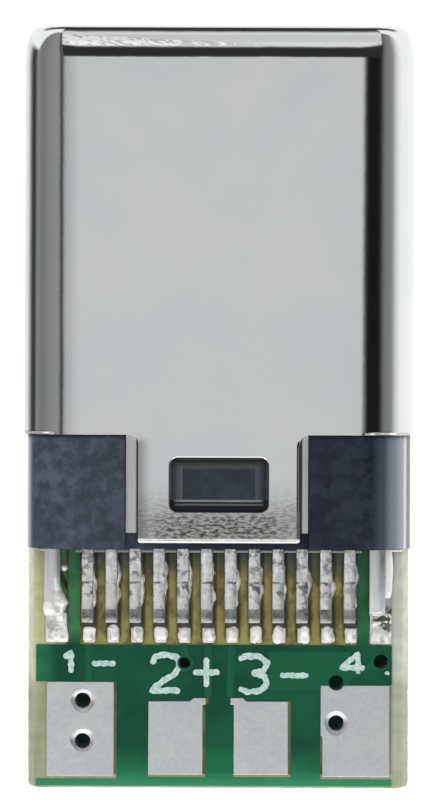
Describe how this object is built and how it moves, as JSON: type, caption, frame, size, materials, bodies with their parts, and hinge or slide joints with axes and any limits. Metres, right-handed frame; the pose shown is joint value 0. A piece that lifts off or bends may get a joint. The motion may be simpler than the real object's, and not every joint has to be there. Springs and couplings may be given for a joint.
{
  "type": "plug breakout board",
  "caption": "Small circuit board with a reversible oval metal plug soldered to one edge and a row of bare solder pads for wires at the other.",
  "frame": {"origin": "middle of the bounding box on the plane of the underside of the plug", "axes": "+Y points out of the plug mouth, +Z out of the face with the wire pads, +X to the right seen from above"},
  "size_m": [0.0082, 0.016, 0.0024],
  "materials": {
    "bright_nickel": "bright nickel plate on drawn steel",
    "black_moulding": "satin moulded plastic",
    "tinned_contact": "tin plate on copper alloy",
    "spring_steel": "plain stainless strip",
    "laminate": "bare glass-fibre laminate",
    "green_mask": "semi-gloss green lacquer",
    "tinned_pad": "matte tin on copper",
    "solder": "bright solder",
    "chip_body": "black glaze on a white ceramic"
  },
  "bodies": {
    "root": {"plug_shell": "bright_nickel", "nose_moulding": "black_moulding", "upper_carrier": "black_moulding", "lower_carrier": "black_moulding", "upper_contact_1": "tinned_contact", "upper_contact_2": "tinned_contact", "upper_contact_3": "tinned_contact", "upper_contact_4": "tinned_contact", "upper_contact_5": "tinned_contact", "upper_contact_6": "tinned_contact", "upper_contact_7": "tinned_contact", "upper_contact_8": "tinned_contact", "upper_contact_9": "tinned_contact", "upper_contact_10": "tinned_contact", "upper_contact_11": "tinned_contact", "upper_contact_12": "tinned_contact", "lower_contact_1": "tinned_contact", "lower_contact_2": "tinned_contact", "lower_contact_3": "tinned_contact", "lower_contact_4": "tinned_contact", "lower_contact_5": "tinned_contact", "lower_contact_6": "tinned_contact", "lower_contact_7": "tinned_contact", "lower_contact_8": "tinned_contact", "lower_contact_9": "tinned_contact", "lower_contact_10": "tinned_contact", "lower_contact_11": "tinned_contact", "lower_contact_12": "tinned_contact", "latch_plate": "spring_steel", "upper_ground_spring": "spring_steel", "lower_ground_spring": "spring_steel", "circuit_board": "laminate", "upper_mask": "green_mask", "lower_mask": "green_mask", "minus_pad": "tinned_pad", "data_plus_pad": "tinned_pad", "data_minus_pad": "tinned_pad", "plus_pad": "tinned_pad", "upper_contact_pads": "tinned_pad", "lower_contact_pads": "tinned_pad", "shield_pads": "tinned_pad", "plated_holes": "tinned_pad", "resistor_pads": "tinned_pad", "upper_solder": "solder", "lower_solder": "solder", "leg_solder": "solder", "resistor_solder": "solder", "resistor_caps": "solder", "resistor_body": "chip_body"}
  },
  "joints": []
}
